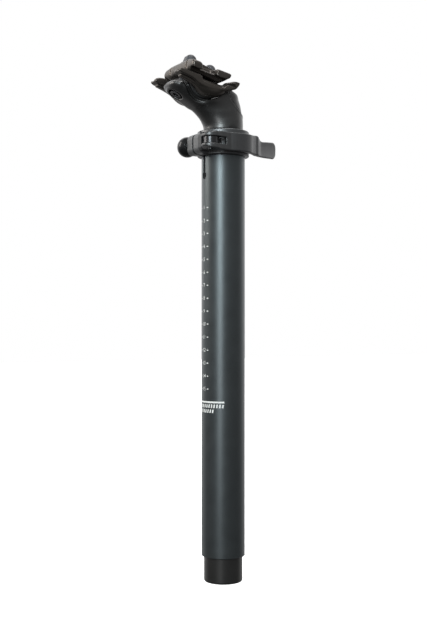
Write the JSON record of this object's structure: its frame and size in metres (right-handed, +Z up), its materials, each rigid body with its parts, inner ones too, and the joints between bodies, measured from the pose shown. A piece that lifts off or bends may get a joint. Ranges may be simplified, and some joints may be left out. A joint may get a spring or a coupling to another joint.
{
  "type": "suspension seatpost",
  "caption": "Black telescoping suspension seatpost with a scaled outer tube, quick-release collar, set-back neck, and sprung, tilting saddle-rail clamp.",
  "frame": {"origin": "centre of the inner tube's lower end face, with the post pushed right down", "axes": "+Z up along the tubes, +X to the front of the bicycle, +Y to its left; the saddle clamp is set back towards -X"},
  "size_m": [0.1007, 0.0517, 0.4072],
  "materials": {
    "tube_black": "black anodised, fine satin, white printed scale",
    "inner_black": "black anodised, satin",
    "collar_black": "black anodised, satin",
    "lever_black": "black, satin, worn edges",
    "head_black": "black, bead blasted and anodised",
    "clamp_black": "black, bead blasted and anodised",
    "nut_black": "black, smoother satin",
    "black_steel": "black oxide",
    "steel": "zinc plated",
    "black_plastic": "moulded, matte",
    "black_rubber": "matte rubber"
  },
  "bodies": {
    "outer_post": {"outer_tube": "tube_black", "top_bush": "black_plastic", "wiper_ring": "black_rubber", "qr_collar": "collar_black", "cam_washer": "black_plastic", "nut_washer": "steel"},
    "slide_ring": {"glide_ring": "black_plastic"},
    "inner_post": {"inner_tube": "inner_black", "foot_plug": "black_plastic", "neck_forging": "head_black", "neck_insert": "black_rubber", "rear_bolt": "black_steel", "rear_bolt_washer": "black_steel", "front_stud": "black_steel", "elastomer_pad": "black_rubber"},
    "skewer_body": {"skewer": "steel"},
    "lever": {"cam_lever": "lever_black", "pivot_pin": "steel"},
    "qr_nut": {"adjusting_nut": "nut_black", "nut_lock_insert": "black_plastic"},
    "rocker": {"rocker_cup": "head_black"},
    "rail_clamp": {"lower_cradle": "clamp_black", "upper_clamp": "clamp_black"},
    "rear_nut_pair": {"rear_nut": "black_steel", "rear_nut_washer": "black_steel"},
    "front_nut_pair": {"front_nut": "black_steel", "front_nut_washer": "black_steel"}
  },
  "joints": [
    {"name": "height_slide", "type": "slide", "parent": "outer_post", "child": "slide_ring", "axis": [0, 0, 1], "range_m": [0, 0.15]},
    {"name": "saddle_turn", "type": "hinge", "parent": "slide_ring", "child": "inner_post", "pos_m": [0, 0, 0.2], "axis": [0, 0, 1], "continuous": true},
    {"name": "skewer_pull", "type": "slide", "parent": "outer_post", "child": "skewer_body", "axis": [0, 1, 0], "range_m": [0, 0.00121]},
    {"name": "cam_swing", "type": "hinge", "parent": "skewer_body", "child": "lever", "pos_m": [-0.0228, -0.021, 0.339], "axis": [0, 0, -1], "range_deg": [0, 165]},
    {"name": "nut_turn", "type": "hinge", "parent": "skewer_body", "child": "qr_nut", "pos_m": [-0.0228, 0.0168, 0.339], "axis": [0, 1, 0], "continuous": true},
    {"name": "head_sink", "type": "slide", "parent": "inner_post", "child": "rocker", "axis": [-0.4305, 0, -0.9026], "range_m": [0, 0.0025], "stiffness_N_per_m": 300000, "deforming": ["elastomer_pad"]},
    {"name": "saddle_tilt", "type": "hinge", "parent": "rocker", "child": "rail_clamp", "pos_m": [-0.0215, 0, 0.388], "axis": [0, -1, 0], "range_deg": [-5, 5]},
    {"name": "rear_nut_travel", "type": "slide", "parent": "inner_post", "child": "rear_nut_pair", "axis": [0.4305, 0, 0.9026], "range_m": [-0.0014, 0.0014]},
    {"name": "front_nut_travel", "type": "slide", "parent": "inner_post", "child": "front_nut_pair", "axis": [0.4305, 0, 0.9026], "range_m": [-0.0005, 0.0005]}
  ],
  "couplings": [
    {"joint": "skewer_pull", "follows": "cam_swing", "m_per_rad": 0.0004167},
    {"joint": "rear_nut_travel", "follows": "saddle_tilt", "m_per_rad": -0.013},
    {"joint": "front_nut_travel", "follows": "saddle_tilt", "m_per_rad": 0.0047}
  ]
}
